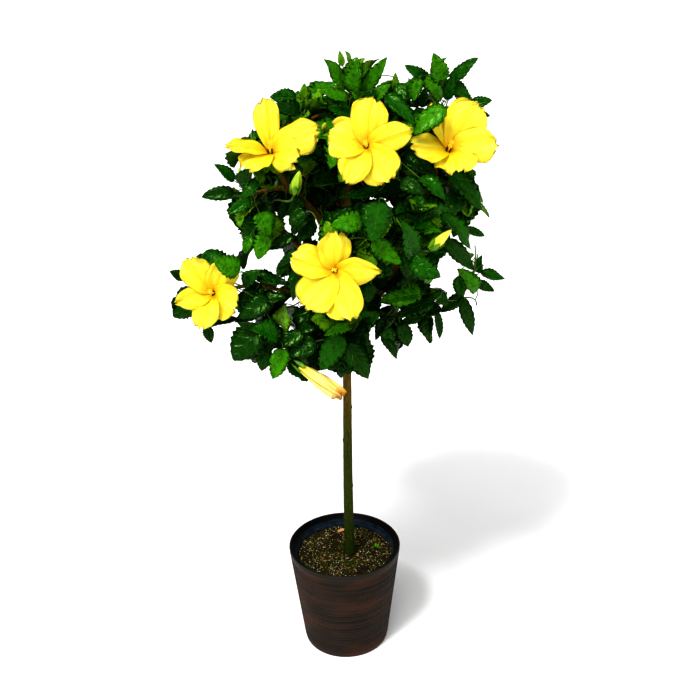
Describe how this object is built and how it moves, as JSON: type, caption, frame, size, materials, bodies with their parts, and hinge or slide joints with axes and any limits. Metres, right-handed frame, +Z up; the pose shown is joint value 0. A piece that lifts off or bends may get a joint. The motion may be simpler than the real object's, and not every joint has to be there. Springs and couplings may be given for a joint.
{
  "type": "potted hibiscus standard",
  "caption": "Hibiscus shrub trained as a small tree: slim bare trunk, open rounded crown of toothed leaves with large ruffled blooms, in a tapered ribbed planter.",
  "frame": {"origin": "centre of the planter's flat underside", "axes": "+Z up along the trunk, -Y towards the front of the crown, where most blooms open, +X to the right seen from the front"},
  "size_m": [0.5993, 0.508, 1.25],
  "materials": {
    "planter": "satin brown moulded plastic with fine level ribs",
    "grow_pot": "satin black moulded plastic",
    "potting_mix": "rough, moist, bark and perlite",
    "bark": "smooth young bark, olive green to tan",
    "foliage": "glossy dark green leaves",
    "blossom": "thin satin petals, clear yellow"
  },
  "bodies": {
    "root": {"planter": "planter", "grow_pot": "grow_pot", "potting_mix": "potting_mix", "trunk": "bark", "bough_back": "bark", "bough_back_left": "bark", "bough_back_low": "bark", "bough_back_right": "bark", "bough_front": "bark", "bough_left": "bark", "bough_left_arm": "bark", "bough_low_left": "bark", "bough_low_right": "bark", "bough_middle": "bark", "bough_right": "bark", "leaves_back_crest": "foliage", "leaves_back_left": "foliage", "leaves_back_low": "foliage", "leaves_back_middle": "foliage", "leaves_back_right": "foliage", "leaves_back_upper_left": "foliage", "leaves_front": "foliage", "leaves_front_right": "foliage", "leaves_left_arm": "foliage", "leaves_left_shoulder": "foliage", "leaves_low_front": "foliage", "leaves_low_left": "foliage", "leaves_low_middle": "foliage", "leaves_low_right": "foliage", "leaves_right_crest": "foliage", "leaves_right_shoulder": "foliage", "leaves_right_spray": "foliage", "leaves_top_left": "foliage", "leaves_top_middle": "foliage", "leaves_top_right": "foliage", "leaves_upper_left": "foliage", "leaves_upper_middle": "foliage", "leaves_upper_right": "foliage"}
  },
  "joints": []
}
